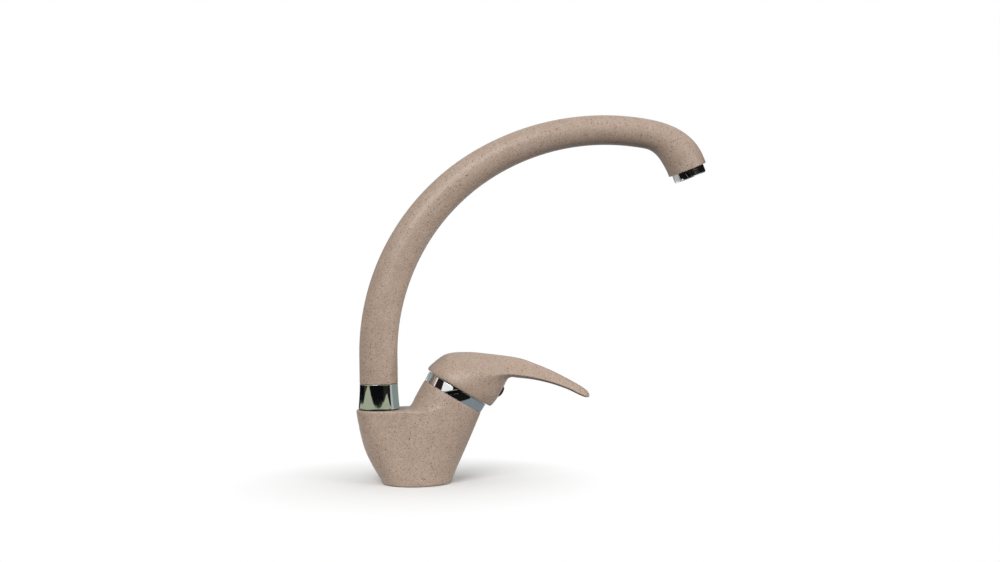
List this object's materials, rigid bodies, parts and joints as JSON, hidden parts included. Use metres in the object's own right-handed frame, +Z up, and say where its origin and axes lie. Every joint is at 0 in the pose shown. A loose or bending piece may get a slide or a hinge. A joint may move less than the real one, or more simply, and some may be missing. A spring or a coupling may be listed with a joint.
{
  "type": "mixer tap",
  "caption": "Single-lever kitchen mixer tap: round foot, leaning cartridge tower under a cap-shaped lever handle, and a tall arched spout that swivels on a flat-topped rear boss.",
  "frame": {"origin": "centre of the round foot, on the deck face", "axes": "+X towards the user, the way the spout reaches; +Z up; the part is the same to both sides of Y = 0"},
  "size_m": [0.2676, 0.0558, 0.274],
  "materials": {
    "coating": "beige stone-look coating with fine dark specks, satin",
    "chrome": "polished chrome plate",
    "brass": "turned brass, bare",
    "ceramic": "lapped alumina",
    "rubber": "black nitrile rubber",
    "white_plastic": "moulded acetal, off-white",
    "dark_plastic": "dark glossy plug",
    "steel": "stainless steel"
  },
  "bodies": {
    "tap_body": {"body": "coating", "base_gasket": "rubber", "cartridge_base": "white_plastic", "cartridge_port_seals": "rubber", "disc_seals": "rubber", "fixed_ceramic_disc": "ceramic", "cartridge_housing": "white_plastic", "cartridge_nut": "brass", "cover_ring": "chrome", "cover_ring_seal": "rubber", "spout_slip_ring": "white_plastic", "spout_retaining_screw": "steel"},
    "spout_unit": {"spout": "coating", "spout_collar": "chrome", "spout_tail": "brass", "spout_o_rings": "rubber", "tail_guide_ring": "white_plastic", "outlet_bush": "brass", "aerator_washer": "rubber", "aerator_housing": "chrome", "aerator_insert": "white_plastic", "aerator_screens": "steel", "aerator_grid": "white_plastic"},
    "stem_rotor": {"stem_guide": "white_plastic", "stem_guide_seal": "rubber", "pivot_pin": "steel"},
    "disc_slider": {"disc_carrier": "white_plastic", "moving_ceramic_disc": "ceramic"},
    "lever_unit": {"handle": "coating", "handle_screw": "steel", "index_plug": "dark_plastic", "cartridge_stem": "steel"}
  },
  "joints": [
    {"name": "spout_swivel", "type": "hinge", "parent": "tap_body", "child": "spout_unit", "pos_m": [-0.0273, 0, 0.0561], "axis": [0, 0, 1], "continuous": true},
    {"name": "handle_turn", "type": "hinge", "parent": "tap_body", "child": "stem_rotor", "pos_m": [0.02795, 0, 0.0639], "axis": [0.518, 0, 0.8554], "range_deg": [-50, 50]},
    {"name": "handle_lift", "type": "hinge", "parent": "stem_rotor", "child": "lever_unit", "pos_m": [0.02676, 0, 0.06193], "axis": [0, -1, 0], "range_deg": [0, 25]},
    {"name": "disc_slide", "type": "slide", "parent": "stem_rotor", "child": "disc_slider", "axis": [0.8554, 0, -0.518], "range_m": [0, 0.004]}
  ],
  "couplings": [
    {"joint": "disc_slide", "follows": "handle_lift", "m_per_rad": 0.009}
  ]
}
